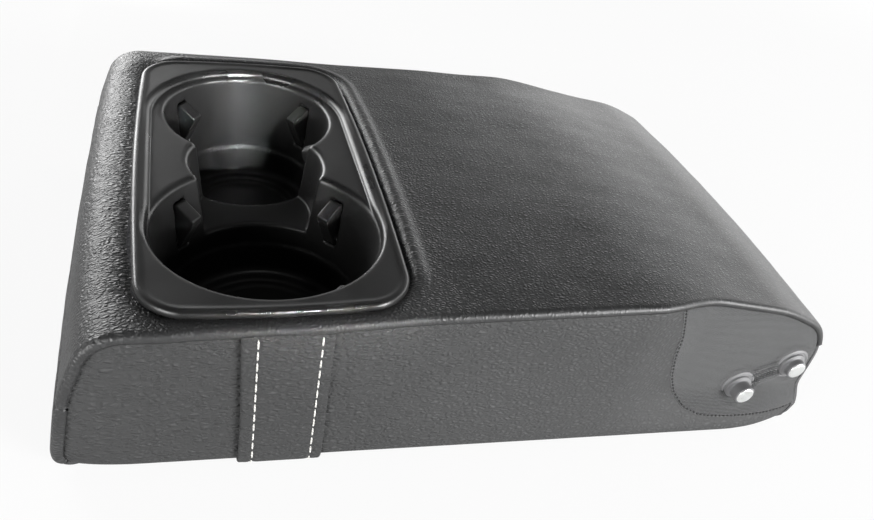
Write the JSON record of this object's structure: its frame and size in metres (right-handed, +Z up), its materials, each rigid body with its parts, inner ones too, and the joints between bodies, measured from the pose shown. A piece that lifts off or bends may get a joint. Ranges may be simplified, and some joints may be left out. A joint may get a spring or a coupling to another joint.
{
  "type": "rear seat armrest",
  "caption": "Padded fold-down car rear seat armrest in dark leather and cloth, with a moulded cup holder tray, side pull strap and side hinge pins.",
  "frame": {"origin": "centre of the flat underside", "axes": "+X towards the hinge end, -Y towards the pull strap side, +Z up"},
  "size_m": [0.3566, 0.2256, 0.0884],
  "materials": {
    "leather": "fine grained, satin",
    "cloth": "woven, matt",
    "foam": "open-cell foam",
    "tray_plastic": "fine textured",
    "finger_plastic": "satin",
    "carcass_plastic": "moulded",
    "sleeve_plastic": "satin",
    "steel": "zinc plated"
  },
  "bodies": {
    "armrest": {"cover_top": "leather", "cover_front_lower": "leather", "cover_side_near": "leather", "cover_side_far": "leather", "cover_bottom": "leather", "cover_rear": "cloth", "cloth_patch_near": "cloth", "cloth_patch_far": "cloth", "pull_strap": "leather", "foam_top": "foam", "foam_front": "foam", "foam_side_near": "foam", "foam_side_far": "foam", "foam_bottom": "foam", "carcass": "carcass_plastic", "cup_tray": "tray_plastic", "tray_screws": "steel", "finger_pins": "steel", "finger_springs": "steel", "bracket_near": "steel", "bracket_far": "steel", "bracket_bolts": "steel", "cross_tube": "steel", "pivot_pin_near": "steel", "pivot_pin_far": "steel", "stop_pin_near": "steel", "stop_pin_far": "steel", "pivot_sleeve_near": "sleeve_plastic", "pivot_sleeve_far": "sleeve_plastic", "stop_sleeve_near": "sleeve_plastic", "stop_sleeve_far": "sleeve_plastic"},
    "finger_1": {"grip_finger_1": "finger_plastic"},
    "finger_2": {"grip_finger_2": "finger_plastic"},
    "finger_3": {"grip_finger_3": "finger_plastic"},
    "finger_4": {"grip_finger_4": "finger_plastic"},
    "finger_5": {"grip_finger_5": "finger_plastic"},
    "finger_6": {"grip_finger_6": "finger_plastic"},
    "finger_7": {"grip_finger_7": "finger_plastic"},
    "finger_8": {"grip_finger_8": "finger_plastic"}
  },
  "joints": [
    {"name": "grip_finger_1_hinge", "type": "hinge", "parent": "armrest", "child": "finger_1", "pos_m": [-0.06889, -0.02192, 0.05089], "axis": [-0.6545, 0.7547, -0.0458], "range_deg": [0, 32], "stiffness_Nm_per_rad": 0.02, "springref_deg": -8.59},
    {"name": "grip_finger_2_hinge", "type": "hinge", "parent": "armrest", "child": "finger_2", "pos_m": [-0.13792, -0.02192, 0.04606], "axis": [-0.6545, -0.7547, -0.0458], "range_deg": [0, 32], "stiffness_Nm_per_rad": 0.02, "springref_deg": -8.59},
    {"name": "grip_finger_3_hinge", "type": "hinge", "parent": "armrest", "child": "finger_3", "pos_m": [-0.13574, -0.08442, 0.04621], "axis": [0.7054, -0.7071, 0.0493], "range_deg": [0, 32], "stiffness_Nm_per_rad": 0.02, "springref_deg": -8.59},
    {"name": "grip_finger_4_hinge", "type": "hinge", "parent": "armrest", "child": "finger_4", "pos_m": [-0.07106, -0.08442, 0.05074], "axis": [0.7054, 0.7071, 0.0493], "range_deg": [0, 32], "stiffness_Nm_per_rad": 0.02, "springref_deg": -8.59},
    {"name": "grip_finger_5_hinge", "type": "hinge", "parent": "armrest", "child": "finger_5", "pos_m": [-0.07149, 0.06925, 0.05071], "axis": [-0.5864, 0.809, -0.041], "range_deg": [0, 32], "stiffness_Nm_per_rad": 0.02, "springref_deg": -8.59},
    {"name": "grip_finger_6_hinge", "type": "hinge", "parent": "armrest", "child": "finger_6", "pos_m": [-0.13532, 0.06925, 0.04625], "axis": [-0.5864, -0.809, -0.041], "range_deg": [0, 32], "stiffness_Nm_per_rad": 0.02, "springref_deg": -8.59},
    {"name": "grip_finger_7_hinge", "type": "hinge", "parent": "armrest", "child": "finger_7", "pos_m": [-0.13916, 0.02929, 0.04598], "axis": [0.4216, -0.9063, 0.0295], "range_deg": [0, 32], "stiffness_Nm_per_rad": 0.02, "springref_deg": -8.59},
    {"name": "grip_finger_8_hinge", "type": "hinge", "parent": "armrest", "child": "finger_8", "pos_m": [-0.06765, 0.02929, 0.05098], "axis": [0.4216, 0.9063, 0.0295], "range_deg": [0, 32], "stiffness_Nm_per_rad": 0.02, "springref_deg": -8.59}
  ]
}
